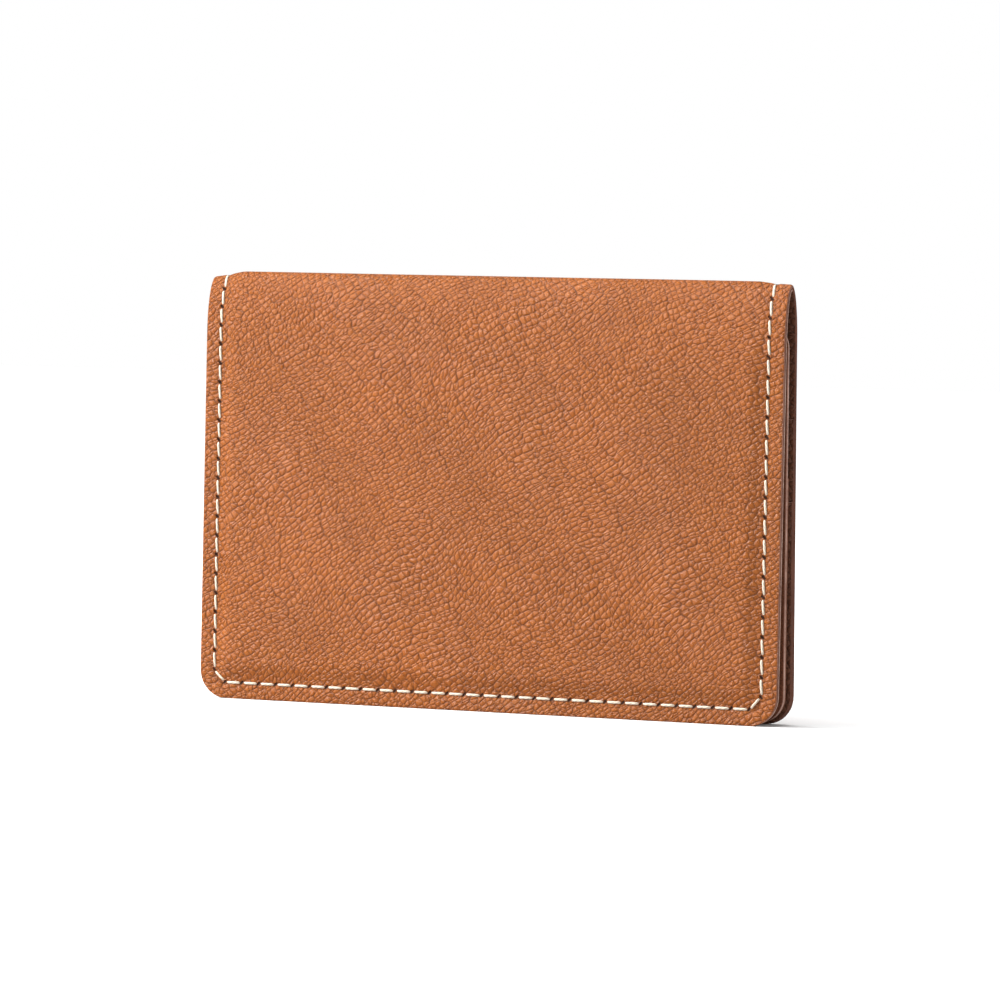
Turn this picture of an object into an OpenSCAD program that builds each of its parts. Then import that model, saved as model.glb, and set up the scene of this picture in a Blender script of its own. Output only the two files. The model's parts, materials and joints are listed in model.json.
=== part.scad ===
// Folding business card case in stitched leather, standing on its free edges
// with the fold at the top. +Z is up, the front cover faces -Y, and the origin
// is at the middle of the case's box, on the surface that it stands on.

/* [Case] */
// Width of the case, side to side
case_w = 110; // [85:1:140]
// Height of the closed case, from the standing edges to the top of the fold
case_h = 75; // [60:1:100]
// Radius of the two free corners of each cover
corner_r = 5; // [4:0.5:9]
// How far the flap stands away from the front cover at rest, in degrees
flap_tilt = 2.1; // [1.5:0.1:6]

/* [Fold] */
// Clearance between the gusseted pocket's stitches and the flap's front pocket
flap_gap = 0.36; // [0.2:0.02:3]
// Height over which the covers run together into the fold
fold_h = 10.5; // [9:0.5:14]
// Clearance between the top strip of the fold and each cover
fold_gap = 0.3; // [0.2:0.05:0.6]

/* [Leather and board] */
// Thickness of the outer leather
leather_t = 0.75; // [0.6:0.05:1.2]
// Thickness of the lining leather
lining_t = 0.4; // [0.3:0.05:0.6]
// Thickness of the board that pads each cover
core_t = 0.7; // [0.3:0.05:1]
// Clearance around the edge of each board
core_gap = 0.3; // [0.1:0.05:1]
// Thickness of the gusset leather
gusset_t = 0.4; // [0.3:0.05:0.6]
// Thickness of the gusseted pocket's front panel
panel_t = 0.55; // [0.4:0.05:1]
// Thickness of each flat card pocket
slip_t = 0.4; // [0.3:0.05:0.6]

/* [Gusseted pocket] */
// Space between the gusset's two leaves at the foot of the pocket
valley_w = 2.3; // [2:0.1:4]
// How far the pocket's front leans in towards the front cover, in degrees
pocket_tilt = 1.35; // [0.5:0.05:1.6]
// How far the gusset folds in from the edge
gusset_depth = 7; // [5:0.5:10]
// How far the pocket's edge stays inside the covers' edge
pocket_inset = 0.4; // [0.2:0.1:1]
// Drop from the top of the fold to the mouth of the gusseted pocket
mouth_drop = 6.5; // [6:0.5:12]
// Height of the pocket's hinge line above the standing edges
pocket_hinge_z = 2.5; // [2:0.5:4]
// Radius of the thumb scoops in the pocket mouths
scoop_r = 11; // [8:1:14]
// Depth of the thumb scoops
scoop_depth = 5; // [3:0.5:7]

/* [Flat card pockets] */
// Drop from the top of the fold to the mouth of the flat pocket on the gusseted one
slip_drop = 33; // [25:1:40]
// Drop from the top of the fold to the mouth of the flap's rear pocket
rear_drop = 23; // [20:1:28]
// Drop from the top of the fold to the mouth of the flap's front pocket
step_drop = 37; // [31:1:45]

/* [Stitching] */
// Distance of the seam from the edge
seam_inset = 3; // [2.5:0.1:3.5]
// Length of one stitch and the gap after it
stitch_pitch = 3.3; // [2.5:0.1:4]
// Length of the thread that shows in each stitch
stitch_len = 2.6; // [1.8:0.1:2.8]
// Width of the thread
thread_w = 0.5; // [0.3:0.05:0.7]
// How far the thread stands out of the leather
thread_h = 0.2; // [0.1:0.05:0.25]

/* [Hidden] */

tan_leather = [0.68, 0.38, 0.2];
dark_leather = [0.5, 0.28, 0.16];
board_grey = [0.62, 0.58, 0.52];
cream_thread = [0.93, 0.88, 0.78];

arch_steps = 48;                       // points along the half ellipse of the fold
corner_steps = 12;                     // points round each corner
scoop_fn = 96;
eps = 0.01;

fold_z = case_h - fold_h;              // where the covers start to run together
cover_t = leather_t + lining_t;        // both plies of a cover
fold_lap = cover_t * sin(flap_tilt);   // what the flap's plies run up into the fold
pocket_y = cover_t + gusset_t + valley_w;       // inner face of the pocket's gusset leaf
pocket_hinge_y = pocket_y + gusset_t;
step_z = case_h - step_drop;

// The fold is as deep as it takes for the flap's front pocket to clear the stitches
// of the gusseted pocket where the two are nearest, at the front pocket's mouth.
pocket_face = pocket_hinge_y + panel_t + slip_t + thread_h
    - (step_z - pocket_hinge_z) * sin(pocket_tilt);
fold_w = pocket_face + flap_gap + cover_t + 2 * slip_t - (fold_z - step_z) * sin(flap_tilt);
fold_mid = fold_w / 2;                 // middle plane of the closed fold
rim_w = seam_inset + 0.8;              // flat margin of a cover, outside its padding
ply_step = 0.05;                       // what the inner plies stay above the standing edges

// Each half of the fold swings about a line at its shoulder. The line is placed so
// that the top strip lies level with the cover after a quarter turn, and so that
// half the fold then takes up flat_share of its own length.
flat_share = 0.955;
half_fold = ellipse_quarter(fold_h, fold_mid);
hinge_y = (half_fold * flat_share - fold_h + fold_mid) / 2;
hinge_z = case_h - fold_mid + hinge_y;

pocket_w = case_w - 2 * pocket_inset;
pocket_r = corner_r - pocket_inset;
mouth_z = case_h - mouth_drop;
slip_z = case_h - slip_drop;
turn_in = 1;                                    // what the lining stays below a mouth
gusset_z = fold_z - turn_in / 2;                // top ends of the gusset

// The flap's leather is cut so that its inner edge stands level with the front cover.
flap_z = fold_z - (fold_z - leather_t * sin(flap_tilt)) / cos(flap_tilt);

// The origin is at the middle of the box: from the padded front to the foot of the
// flap's padding, which is the furthest back because the flap leans.
back_y = fold_w + core_t * cos(flap_tilt) + (fold_z - flap_z - rim_w) * sin(flap_tilt);
middle_y = (back_y - core_t) / 2;

function ellipse_quarter(a, b) =
    PI / 4 * (3 * (a + b) - sqrt((3 * a + b) * (a + 3 * b)));

// Points of the fold's half ellipse at a depth below its outer face, front to back.
function arch_points(depth) = [
    for (i = [0:arch_steps])
        let (a = 180 - 180 * i / arch_steps)
        [
            fold_mid + (fold_mid - depth) * cos(a),
            fold_z + (fold_h - depth) * sin(a)
        ]
];

// Points of a quarter circle about (x, z), from a heading on anticlockwise.
function corner_points(x, z, r, heading) = [
    for (i = [0:corner_steps])
        let (a = heading + 90 * i / corner_steps)
        [x + r * cos(a), z + r * sin(a)]
];

function reversed(list) = [for (i = [len(list) - 1:-1:0]) list[i]];

// The seam runs down one side, along the foot and up the other. These give the place
// and the heading of the point that is s along it, in a panel's own x and z.
function seam_r(inset) = max(corner_r - inset, 0.6);
function seam_side(inset, top) = top - inset - seam_r(inset);
function seam_foot(inset, w) = w - 2 * inset - 2 * seam_r(inset);
function seam_length(inset, w, top) =
    2 * seam_side(inset, top) + seam_foot(inset, w) + PI * seam_r(inset);
function seam_point(s, inset, w, top) =
    let (
        r = seam_r(inset),
        side = seam_side(inset, top),
        foot = seam_foot(inset, w),
        bend = PI * r / 2,
        half = w / 2 - inset,
        a = (s - side) / r * 180 / PI,
        b = (s - side - bend - foot) / r * 180 / PI
    )
    s <= side ? [-half, top - s, -90] :
    s <= side + bend ? [-half + r - r * cos(a), inset + r - r * sin(a), a - 90] :
    s <= side + bend + foot ? [-half + r + s - side - bend, inset, 0] :
    s <= side + 2 * bend + foot ? [half - r + r * sin(b), inset + r - r * cos(b), b] :
    [half, inset + r + s - side - 2 * bend - foot, 90];

// ---- helpers ----

// Brings the middle of the case's depth to the origin.
module centred()
    translate([0, -middle_y, 0])
        children();

// A sheet of thickness t with its near face at y0, cut to a 2D shape in x and z.
module ply(y0, t)
    translate([0, y0 + t, 0])
        rotate([90, 0, 0])
            linear_extrude(t)
                children();

// A 2D shape in y and z, drawn out across the width w.
module across(w)
    rotate([90, 0, 90])
        linear_extrude(w, center = true)
            children();

// A panel from z0 up to z1 with its two lower corners rounded, and its two upper ones
// when top_r is given.
module panel_2d(w, z0, z1, r, top_r = 0) {
    half = w / 2;
    upper = top_r > 0
        ? concat(
            corner_points(half - top_r, z1 - top_r, top_r, 0),
            corner_points(-half + top_r, z1 - top_r, top_r, 90)
        )
        : [[half, z1], [-half, z1]];
    polygon(concat(
        corner_points(-half + r, z0 + r, r, 180),
        corner_points(half - r, z0 + r, r, 270),
        upper
    ));
}

// A shallow thumb scoop in an edge at height z.
module scoop_2d(z)
    translate([0, z + scoop_r - scoop_depth])
        circle(scoop_r, $fn = scoop_fn);

module inset_2d(w, z0, z1, inset)
    panel_2d(w - 2 * inset, z0 + inset, z1, max(corner_r - inset, 0.6));

// A band along the two sides and the foot of a panel, between two insets.
module margin_2d(w, z0, z1, from, to)
    difference() {
        inset_2d(w, z0, z1, from);
        inset_2d(w, z0, z1 + eps, to);
    }

// One wall of the fold, between two depths below its outer face.
module arch_2d(near, far)
    polygon(concat(arch_points(near), reversed(arch_points(far))));

// The fold's top strip lies over a V whose two sides run down from the hinge lines.
module top_strip_2d() {
    foot = hinge_z - hinge_y + fold_gap / sqrt(2);
    polygon([[fold_mid, foot], [fold_mid + fold_h, foot + fold_h], [fold_mid - fold_h, foot + fold_h]]);
}

// The front cover's share of the fold, under the same V.
module shoulder_2d() {
    foot = hinge_z - hinge_y - fold_gap / sqrt(2);
    polygon([
        [fold_mid, foot], [fold_mid - fold_h, foot + fold_h],
        [fold_mid - fold_h, fold_z], [fold_mid, fold_z]
    ]);
}

// The flap is the front cover's mirror image, let out by flap_tilt below the fold.
module mirrored()
    translate([0, fold_w, 0])
        mirror([0, 1, 0])
            children();

module flap_leaning()
    translate([0, fold_w, fold_z])
        rotate([flap_tilt, 0, 0])
            translate([0, -fold_w, -fold_z])
                children();

module pocket_leaning()
    translate([0, pocket_hinge_y, pocket_hinge_z])
        rotate([pocket_tilt, 0, 0])
            translate([0, -pocket_hinge_y, -pocket_hinge_z])
                children();

// The stitches of a seam, each its own flat bar that stands proud of the face at y,
// for the part of the panel between two heights.
module seam_bars(y, w, top, low, high) {
    long = seam_length(seam_inset, w, top);
    count = floor(long / stitch_pitch);
    first = (long - count * stitch_pitch) / 2;
    for (i = [0:count - 1]) {
        p = seam_point(first + (i + 0.5) * stitch_pitch, seam_inset, w, top);
        if (p[1] > low && p[1] < high)
            translate([p[0], y - thread_h / 2, p[1]])
                rotate([0, -p[2], 0])
                    cube([stitch_len, thread_h, thread_w], center = true);
    }
}

// The seam goes on over the fold at both of its ends, as strips of thread that lie
// on its outer face wherever the 2D shape reaches it.
module arch_strips()
    for (side = [-1, 1])
        translate([side * (case_w / 2 - seam_inset), 0, 0])
            across(thread_w)
                intersection() {
                    arch_2d(-thread_h, 0);
                    children();
                }

module shoulder_strips()
    arch_strips()
        intersection() {
            shoulder_2d();
            for (i = [0:2])
                translate([-fold_h, fold_z + (i + 0.5) * stitch_pitch - stitch_len / 2])
                    square([2 * fold_h, stitch_len]);
        }

// ---- covers ----

// The hollow behind a cover's padding, or the board in it when gap is core_gap.
module core_2d(z0, gap) {
    inset = rim_w + leather_t + gap;
    panel_2d(case_w - 2 * inset, z0 + inset, fold_z - leather_t - gap, corner_r / 2);
}

module cover_leather(z0, top)
    difference() {
        union() {
            ply(0, leather_t)
                panel_2d(case_w, z0, top, corner_r);
            ply(-core_t, leather_t + core_t)
                panel_2d(case_w - 2 * rim_w, z0 + rim_w, fold_z, corner_r / 2);
        }
        ply(leather_t - core_t, core_t + eps)
            core_2d(z0, 0);
    }

module shoulder(near, far)
    across(case_w)
        intersection() {
            arch_2d(near, far);
            shoulder_2d();
        }

module front_cover()
    color(tan_leather)
        centred() {
            cover_leather(0, fold_z);
            shoulder(0, leather_t);
        }

module flap_cover()
    color(tan_leather)
        centred() {
            flap_leaning() mirrored() cover_leather(flap_z, fold_z + fold_lap);
            mirrored() shoulder(0, leather_t);
        }

module front_core()
    color(board_grey)
        centred()
            ply(leather_t - core_t, core_t)
                core_2d(0, core_gap);

module flap_core()
    color(board_grey)
        centred()
            flap_leaning() mirrored()
                ply(leather_t - core_t, core_t)
                    core_2d(flap_z, core_gap);

module front_lining()
    color(dark_leather)
        centred() {
            ply(leather_t, lining_t)
                panel_2d(case_w, ply_step, fold_z, corner_r);
            shoulder(leather_t, cover_t);
        }

module flap_lining()
    color(dark_leather)
        centred() {
            flap_leaning() mirrored()
                ply(leather_t, lining_t)
                    panel_2d(case_w, flap_z + ply_step, fold_z + fold_lap, corner_r);
            mirrored() shoulder(leather_t, cover_t);
        }

// ---- fold ----

module top_strip(near, far)
    across(case_w)
        intersection() {
            arch_2d(near, far);
            top_strip_2d();
        }

module fold_leather()
    color(tan_leather)
        centred()
            top_strip(0, leather_t);

module fold_lining()
    color(dark_leather)
        centred()
            top_strip(leather_t, cover_t);

// ---- gusset and gusseted pocket ----

module gusset_cover_leaf()
    color(dark_leather)
        centred()
            ply(cover_t, gusset_t)
                margin_2d(case_w, 0, gusset_z, pocket_inset, gusset_depth);

module gusset_pocket_leaf()
    color(dark_leather)
        centred()
            pocket_leaning()
                ply(pocket_y, gusset_t)
                    margin_2d(case_w, 0, gusset_z, pocket_inset, gusset_depth);

// The folded inner edge of the gusset, from one leaf to the other.
module gusset_fold()
    color(dark_leather)
        centred()
            intersection() {
                ply(cover_t + gusset_t, valley_w + gusset_t)
                    margin_2d(case_w, 0, gusset_z, gusset_depth - gusset_t, gusset_depth);
                pocket_leaning()
                    ply(pocket_y - case_h, case_h)
                        translate([-case_w / 2, -case_h / 2])
                            square([case_w, 2 * case_h]);
            }

module pocket_panel()
    color(tan_leather)
        centred()
            pocket_leaning()
                ply(pocket_y + gusset_t, panel_t)
                    difference() {
                        panel_2d(pocket_w, pocket_inset, mouth_z, pocket_r, pocket_r);
                        scoop_2d(mouth_z);
                    }

module pocket_lining()
    color(dark_leather)
        centred()
            pocket_leaning()
                ply(pocket_y + gusset_t - lining_t, lining_t)
                    difference() {
                        inset_2d(case_w, 0, mouth_z - turn_in, gusset_depth + core_gap);
                        scoop_2d(mouth_z - turn_in);
                    }

module slip_pocket()
    color(tan_leather)
        centred()
            pocket_leaning()
                ply(pocket_y + gusset_t + panel_t, slip_t)
                    difference() {
                        panel_2d(pocket_w, pocket_inset, slip_z, pocket_r);
                        scoop_2d(slip_z);
                    }

// ---- flat pockets in the flap ----

module flap_pocket(layer, top, scooped)
    centred()
        flap_leaning() mirrored()
            ply(cover_t + layer * slip_t, slip_t)
                difference() {
                    panel_2d(case_w, flap_z + ply_step, top, corner_r);
                    if (scooped)
                        scoop_2d(top);
                }

module flap_rear_pocket()
    color(dark_leather)
        flap_pocket(0, case_h - rear_drop, false);

module flap_front_pocket()
    color(tan_leather)
        flap_pocket(1, step_z, true);

// ---- threads ----

module front_seam_thread()
    color(cream_thread)
        centred() {
            seam_bars(0, case_w, fold_z, 0, fold_z);
            shoulder_strips();
        }

module flap_seam_thread()
    color(cream_thread)
        centred() {
            flap_leaning() mirrored()
                translate([0, 0, flap_z])
                    seam_bars(0, case_w, fold_z - flap_z, 0, fold_z);
            mirrored() shoulder_strips();
        }

module fold_seam_thread()
    color(cream_thread)
        centred()
            arch_strips()
                top_strip_2d();

// The pocket's seam goes through the flat pocket below its mouth, and through the
// panel alone above it, where the stitches lie one ply deeper.
module pocket_bars(y, low, high)
    pocket_leaning()
        translate([0, y, pocket_inset])
            mirror([0, 1, 0])
                seam_bars(0, pocket_w, gusset_z - pocket_inset, low, high);

module pocket_seam_thread() {
    panel_face = pocket_y + gusset_t + panel_t;
    step = slip_z - pocket_inset;
    color(cream_thread)
        centred() {
            pocket_bars(panel_face + slip_t, 0, step - stitch_len / 2);
            pocket_bars(panel_face, step + stitch_len / 2, gusset_z);
        }
}

front_cover();
front_core();
front_lining();
gusset_cover_leaf();
gusset_fold();
front_seam_thread();
fold_leather();
fold_lining();
fold_seam_thread();
flap_cover();
flap_core();
flap_lining();
flap_rear_pocket();
flap_front_pocket();
flap_seam_thread();
gusset_pocket_leaf();
pocket_panel();
pocket_lining();
slip_pocket();
pocket_seam_thread();
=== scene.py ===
# %% [markdown]
# # A folding business card case in stitched leather
#
# The case is two padded leather covers that are one piece of leather, folded over at the
# top like a tent. Inside, a pocket hangs in the front cover on a folded gusset, and flat
# card pockets lie on the flap. The CAD model holds the sizes and the joints. Blender adds
# what leather is liked for: plies with painted edges, a soft swell inside the seam, waxed
# stitches that bend over the fold, and a pebbled grain.
#
# Everything here starts from the CAD model's boxes, so each piece lands in its place.

# %% Load the CAD frame
import json
import math

import bmesh
import bpy
import numpy as np
from mathutils import Matrix, Vector


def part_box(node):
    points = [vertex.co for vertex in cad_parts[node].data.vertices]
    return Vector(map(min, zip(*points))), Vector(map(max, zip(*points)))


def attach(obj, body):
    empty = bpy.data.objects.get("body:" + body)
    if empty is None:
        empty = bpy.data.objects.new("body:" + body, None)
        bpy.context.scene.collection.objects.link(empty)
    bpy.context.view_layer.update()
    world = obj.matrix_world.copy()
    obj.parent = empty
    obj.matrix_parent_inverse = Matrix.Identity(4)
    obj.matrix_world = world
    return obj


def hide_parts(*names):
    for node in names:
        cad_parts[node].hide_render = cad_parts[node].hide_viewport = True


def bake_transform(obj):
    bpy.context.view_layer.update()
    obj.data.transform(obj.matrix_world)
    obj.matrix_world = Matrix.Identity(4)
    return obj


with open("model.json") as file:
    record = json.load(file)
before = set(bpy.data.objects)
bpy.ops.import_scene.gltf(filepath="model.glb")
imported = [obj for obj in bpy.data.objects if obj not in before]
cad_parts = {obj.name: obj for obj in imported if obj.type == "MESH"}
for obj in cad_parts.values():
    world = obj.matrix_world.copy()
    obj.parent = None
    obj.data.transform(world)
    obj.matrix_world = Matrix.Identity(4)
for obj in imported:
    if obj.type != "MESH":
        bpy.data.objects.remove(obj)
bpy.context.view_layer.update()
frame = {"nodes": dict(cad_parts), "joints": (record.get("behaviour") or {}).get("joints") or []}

MM = 0.001

# %% [markdown]
# ## The sizes that drive the shapes
#
# A leather worker cuts flat plies and then folds them, so the script works in the same way:
# in millimetres, with x across, a depth below the outer face, and a run up from the foot.
# The outline and the fold come from the CAD boxes. The ply thicknesses, the corner, the
# seam and the slight lean of the flap and the pocket are the maker's own numbers, and stand
# here once. Numbers that shape only one piece stand with that piece.

# %% Read the outline and the fold from the frame
OUTER, LINING, GUSSET, PANEL, SLIP = 0.75, 0.4, 0.4, 0.55, 0.4
PLY_AIR = 0.01
CORNER = 5.0
SEAM_INSET, PITCH = 2.85, 3.33
GUSSET_BELOW_FOLD = 0.5
FLAP_TILT = math.radians(2.1)
POCKET_TILT = math.radians(1.35)

joints = {joint["name"]: joint for joint in frame["joints"]}
cover = OUTER + LINING
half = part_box("front_cover")[1].x / MM
case_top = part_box("fold_leather")[1].z / MM
rim_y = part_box("front_lining")[0].y / MM - OUTER
fold_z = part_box("gusset_cover_leaf")[1].z / MM + GUSSET_BELOW_FOLD
strip_lo, strip_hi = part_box("fold_leather")
fold_mid = (strip_lo.y + strip_hi.y) / 2 / MM - rim_y
fold_h = case_top - fold_z
pocket_back = joints["pocket_mouth"]["pos_m"][1] / MM - rim_y
pocket_hinge_z = joints["pocket_mouth"]["pos_m"][2] / MM
pocket_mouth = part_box("pocket_panel")[1].z / MM
slip_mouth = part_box("slip_pocket")[1].z / MM
rear_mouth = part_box("flap_rear_pocket")[1].z / MM
step_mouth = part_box("flap_front_pocket")[1].z / MM
print(f"half width {half:.2f}, top {case_top:.2f}, fold from {fold_z:.2f}, middle {fold_mid:.3f} mm")

# %% [markdown]
# ## From flat leather to a folded cover
#
# A real cover is flat until it rolls over the fold. A bend modifier could do that, but it
# has no idea of plies, and each ply would need its own. One formula serves them all: below
# the fold a point stays where it was cut, and above it the run is laid along half an
# ellipse, each ply closer to the middle by its own depth. The table turns run into angle,
# so the leather isn't stretched. The flap is the mirror image, leaning out a little. The
# fold's two ends droop by part of a millimetre, because no board holds them up.

# %% Lay a run of leather over the fold
turn_steps = np.linspace(0, math.pi / 2, 400)
arc_y = fold_mid * (1 - np.cos(turn_steps))
arc_z = fold_h * np.sin(turn_steps)
arc_run = np.concatenate(([0], np.cumsum(np.hypot(np.diff(arc_y), np.diff(arc_z)))))
apex = fold_z + arc_run[-1]
END_DROOP_LEFT, END_DROOP_RIGHT = 0.8, 0.25
DROOP_FROM, DROOP_PAST = 6.0, 1.0
TILT_EASE = 2.0
print(f"the leather of one half runs {apex:.2f} mm from foot to apex")


def smooth(value, low, high):
    """0 below low, 1 above high, and an S between them."""
    t = np.clip((value - low) / (high - low), 0, 1)
    return t * t * (3 - 2 * t)


def over_front(flat):
    """Flat points (x, depth, run) of the front half, folded into place."""
    x, depth, run = flat.T
    turn = np.interp(run - fold_z, arc_run, turn_steps)
    droop = END_DROOP_LEFT * smooth(-x, half - DROOP_FROM, half + DROOP_PAST)
    droop += END_DROOP_RIGHT * smooth(x, half - DROOP_FROM, half + DROOP_PAST)
    y = fold_mid - (fold_mid - depth) * np.cos(turn)
    z = np.minimum(run, fold_z) + (fold_h - depth - droop) * np.sin(turn)
    return np.stack((x, y, z), axis=1)


def over_back(flat):
    """The same for the flap, which mirrors the front and leans out below the fold."""
    x, y, z = over_front(flat).T
    below = fold_z - z
    eased = (np.clip(below, -TILT_EASE, TILT_EASE) + TILT_EASE) ** 2 / (4 * TILT_EASE)
    lean = np.where(below > TILT_EASE, below, eased)
    return np.stack((x, 2 * fold_mid - y + math.tan(FLAP_TILT) * lean, z), axis=1)


def on_pocket(flat):
    """Points of the hanging pocket, which leans in towards the front cover."""
    x, depth, run = flat.T
    return np.stack((x, depth - pocket_lean(run), run), axis=1)


def pocket_lean(run):
    return (run - pocket_hinge_z) * math.tan(POCKET_TILT)


# %% [markdown]
# ## Cutting a ply
#
# A ply starts as one upright face. Its lower corners are rounded with a vertex bevel, and
# rings are inset along the edge, because the pressed seam and the swell of the padding run
# parallel to it. Cuts across and along give the leather the points it needs to swell and
# fold. Solidify then gives it thickness, and a small bevel rounds the cut edge, as a maker
# does with an edge beveller before painting it. A ply that runs on over the fold is cut too
# long and trimmed at the apex, so its rings reach the apex without turning inwards.

# %% Cut a flat ply with rounded corners
SPARE = 12.0
NEAR = 0.01


def bisect(bm, place, direction, clear=False):
    everything = bm.verts[:] + bm.edges[:] + bm.faces[:]
    bmesh.ops.bisect_plane(
        bm, geom=everything, dist=1e-4, plane_co=place, plane_no=direction, clear_outer=clear
    )


def round_corners(bm, corners, radius, segments=10):
    bmesh.ops.bevel(
        bm, geom=corners, offset=radius, offset_type="OFFSET", segments=segments,
        profile=0.5, affect="VERTICES", clamp_overlap=False, material=-1,
    )


def cut_ply(w, foot, top, corner, thick, rings=(), columns=(), rows=(),
            upper_corner=0.0, runs_on=False, edge_round=0.16):
    """An upright ply with its outer face at depth 0, facing -Y, as a bmesh in millimetres."""
    spare = SPARE if runs_on else 0.0
    bm = bmesh.new()
    bmesh.ops.create_grid(bm, x_segments=1, y_segments=1, size=0.5)
    upright = Matrix.Rotation(math.pi / 2, 3, "X")
    bmesh.ops.rotate(bm, verts=bm.verts, cent=(0, 0, 0), matrix=upright)
    bmesh.ops.scale(bm, verts=bm.verts, vec=(2 * w, 1, top + spare - foot))
    bmesh.ops.translate(bm, verts=bm.verts, vec=(0, 0, (top + spare + foot) / 2))
    middle = (foot + top) / 2
    round_corners(bm, [v for v in bm.verts if v.co.z < middle], corner)
    if upper_corner:
        round_corners(bm, [v for v in bm.verts if v.co.z > top - NEAR], upper_corner)
    bm.faces.ensure_lookup_table()
    field = bm.faces[0]
    reach = 0.0
    for ring in rings:
        bmesh.ops.inset_region(
            bm, faces=[field], thickness=ring - reach, use_even_offset=True, use_boundary=True
        )
        reach = ring
    for x in columns:
        bisect(bm, (x, 0, 0), (1, 0, 0))
    for z in rows:
        bisect(bm, (0, 0, z), (0, 0, 1))
    if runs_on:
        bisect(bm, (0, 0, top), (0, 0, 1), clear=True)
    bmesh.ops.solidify(bm, geom=bm.faces[:], thickness=thick)
    low = min(v.co.y for v in bm.verts)
    bmesh.ops.translate(bm, verts=bm.verts, vec=(0, -low, 0))
    bmesh.ops.recalc_face_normals(bm, faces=bm.faces)
    rim = [
        e for e in bm.edges
        if len(e.link_faces) == 2
        and abs(abs(e.link_faces[0].normal.y) - abs(e.link_faces[1].normal.y)) > 0.5
        and not (runs_on and min(v.co.z for v in e.verts) > top - NEAR)
    ]
    bmesh.ops.bevel(
        bm, geom=rim, offset=edge_round, offset_type="OFFSET", segments=2,
        profile=0.5, affect="EDGES", clamp_overlap=False, material=-1,
    )
    return bm


def spaced(start, end, step):
    """Even places from start to end, about one step apart."""
    count = max(1, round(abs(end - start) / step))
    return [start + (end - start) * i / count for i in range(count + 1)]


# %% Turn a ply into an object in its place
MAP_SIZE = 100
EDGE_FACING = 0.6
SMOOTH_BELOW = math.radians(35)


def cut_edge_faces(mesh):
    """Marks the faces on the cut edge of a flat ply, which get the edge paint."""
    for face in mesh.polygons:
        if abs(face.normal.y) < EDGE_FACING:
            face.material_index = 1


def point_array(mesh):
    flat = np.zeros(len(mesh.vertices) * 3)
    mesh.vertices.foreach_get("co", flat)
    return flat.reshape(-1, 3)


def map_corners(mesh, name, per_vertex):
    """Writes a UV map from one pair of numbers per vertex."""
    corner_verts = np.zeros(len(mesh.loops), int)
    mesh.loops.foreach_get("vertex_index", corner_verts)
    layer = mesh.uv_layers.new(name=name)
    layer.data.foreach_set("uv", per_vertex[corner_verts].astype(np.float32).ravel())


def place_ply(name, bm, into_place, swell=None, seam=None, skin_from=0.0, past_apex=False,
              depth=0.0, flip=False, finishes=()):
    """The bmesh as an object: UV maps from the flat ply, then its swell, then its fold.

    Each ply is cut from its own stretch of the skin, which starts at skin_from. One that is
    past_apex carries on where the front half's leather ends."""
    mesh = bpy.data.meshes.new(name)
    bm.to_mesh(mesh)
    bm.free()
    cut_edge_faces(mesh)
    flat = point_array(mesh)
    along_skin = (2 * apex - flat[:, 2] if past_apex else flat[:, 2]) + skin_from
    map_corners(mesh, "grain", np.stack((flat[:, 0], along_skin), axis=1) / MAP_SIZE)
    if seam is not None:
        map_corners(mesh, "seam", np.stack(seam(flat[:, 0], flat[:, 2]), axis=1))
    if swell is not None:
        flat = swell(flat)
    flat[:, 1] += depth
    placed = into_place(flat)
    placed[:, 1] += rim_y
    mesh.vertices.foreach_set("co", (placed * MM).ravel())
    if flip:
        mesh.flip_normals()
    mesh.update()
    for face in mesh.polygons:
        face.use_smooth = True
    mesh.set_sharp_from_angle(angle=SMOOTH_BELOW)
    for coat in finishes:
        mesh.materials.append(coat)
    piece = bpy.data.objects.new(name, mesh)
    bpy.context.scene.collection.objects.link(piece)
    print(f"{name}: {len(mesh.polygons)} faces")
    return piece


# %% [markdown]
# ## The finishes
#
# Pebbled calf leather is a field of small domes with creases between them. A picture of
# leather would repeat and blur close up, so the pattern is built from Voronoi textures. The
# distance to a cell's edge gives the crease and the dome's flank, and the distance to its
# centre adds a round mound on top. A longer Voronoi lays the deeper wrinkles, and a fine
# noise the pores. The pattern is turned, squeezed and pulled about by two slow noises,
# because the grain lies along a wandering slant in a skin. The creases are darker, since dye
# settles in them, and rougher, since no hand polishes them. The pattern reads the flat ply's
# own map, so it runs over the fold as real grain does.

# %% Helpers for node trees
def plug(tree, socket, value):
    """Sets an input to a number or colour, or joins it to another node's output socket."""
    if isinstance(value, bpy.types.NodeSocket):
        tree.links.new(value, socket)
    else:
        socket.default_value = value


def add(tree, kind, inputs=None, **settings):
    """Adds a node with its settings, then its inputs."""
    made = tree.nodes.new(kind)
    for key, value in settings.items():
        setattr(made, key, value)
    for key, value in (inputs or {}).items():
        plug(tree, made.inputs[key], value)
    return made


def maths(tree, operation, *values):
    return add(tree, "ShaderNodeMath", dict(enumerate(values)), operation=operation).outputs[0]


def times(tree, first, second):
    return maths(tree, "MULTIPLY", first, second)


def plus(tree, *values):
    total = values[0]
    for value in values[1:]:
        total = maths(tree, "ADD", total, value)
    return total


def vector(tree, operation, first, second):
    return add(tree, "ShaderNodeVectorMath", {0: first, 1: second}, operation=operation).outputs[0]


def noise(tree, place, scale, detail, rough=0.5):
    """A noise texture: Fac is its grey output, Color its three unlike ones."""
    return add(tree, "ShaderNodeTexNoise",
               {"Vector": place, "Scale": scale, "Detail": detail, "Roughness": rough}).outputs


def spread(tree, value, low, high, to_low=0.0, to_high=1.0):
    """Value from low to high, eased onto to_low to to_high."""
    return add(
        tree, "ShaderNodeMapRange",
        {"Value": value, "From Min": low, "From Max": high, "To Min": to_low, "To Max": to_high},
        interpolation_type="SMOOTHSTEP",
    ).outputs["Result"]


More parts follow.
